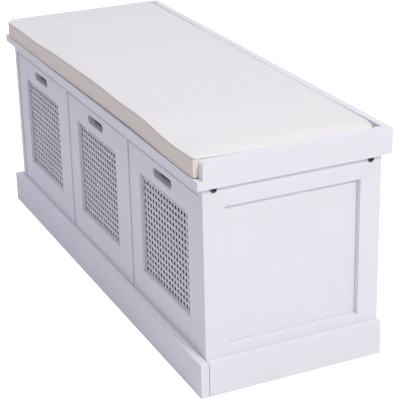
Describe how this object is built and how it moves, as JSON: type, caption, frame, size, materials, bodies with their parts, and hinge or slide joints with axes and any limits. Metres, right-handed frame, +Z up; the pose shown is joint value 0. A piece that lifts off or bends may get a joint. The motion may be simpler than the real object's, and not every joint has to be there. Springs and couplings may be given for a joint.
{
  "type": "entryway bench",
  "caption": "Low white storage bench with cane-fronted drawers side by side, a plinth, panelled ends and a loose boxed seat cushion.",
  "frame": {"origin": "on the floor, under the middle of the bench's outer box", "axes": "+X along the bench, drawers face -Y, +Z up"},
  "size_m": [1.0446, 0.3786, 0.4464],
  "materials": {
    "white_paint": "satin white paint on fibreboard",
    "drawer_board": "grey melamine-faced board",
    "painted_cane": "woven cane, painted off-white",
    "cotton_cover": "plain-woven off-white cotton",
    "dark_steel": "dark-plated bolt heads"
  },
  "bodies": {
    "carcass": {"plinth_front": "white_paint", "plinth_left": "white_paint", "plinth_right": "white_paint", "left_front_stile": "white_paint", "left_rear_stile": "white_paint", "left_top_rail": "white_paint", "left_bottom_rail": "white_paint", "left_panel": "white_paint", "right_front_stile": "white_paint", "right_rear_stile": "white_paint", "right_top_rail": "white_paint", "right_bottom_rail": "white_paint", "right_panel": "white_paint", "deck": "white_paint", "back_board": "white_paint", "front_header": "white_paint", "rear_header": "white_paint", "divider_1": "white_paint", "divider_2": "white_paint", "seat_board": "white_paint", "seat_back_rail": "white_paint", "seat_rail_left": "white_paint", "seat_rail_right": "white_paint", "bolt_left_front": "dark_steel", "bolt_left_rear": "dark_steel", "bolt_right_front": "dark_steel", "bolt_right_rear": "dark_steel"},
    "drawer_1": {"drawer_1_front": "white_paint", "drawer_1_cane_panel": "painted_cane", "drawer_1_side_left": "drawer_board", "drawer_1_side_right": "drawer_board", "drawer_1_back": "drawer_board", "drawer_1_bottom": "drawer_board"},
    "drawer_2": {"drawer_2_front": "white_paint", "drawer_2_cane_panel": "painted_cane", "drawer_2_side_left": "drawer_board", "drawer_2_side_right": "drawer_board", "drawer_2_back": "drawer_board", "drawer_2_bottom": "drawer_board"},
    "drawer_3": {"drawer_3_front": "white_paint", "drawer_3_cane_panel": "painted_cane", "drawer_3_side_left": "drawer_board", "drawer_3_side_right": "drawer_board", "drawer_3_back": "drawer_board", "drawer_3_bottom": "drawer_board"},
    "cushion": {"cushion": "cotton_cover"}
  },
  "joints": [
    {"name": "drawer_1_slide", "type": "slide", "parent": "carcass", "child": "drawer_1", "axis": [0, -1, 0], "range_m": [0, 0.25]},
    {"name": "drawer_2_slide", "type": "slide", "parent": "carcass", "child": "drawer_2", "axis": [0, -1, 0], "range_m": [0, 0.25]},
    {"name": "drawer_3_slide", "type": "slide", "parent": "carcass", "child": "drawer_3", "axis": [0, -1, 0], "range_m": [0, 0.25]},
    {"name": "cushion_lift", "type": "slide", "parent": "carcass", "child": "cushion", "axis": [0, 0, 1], "range_m": [0, 0.15]}
  ]
}
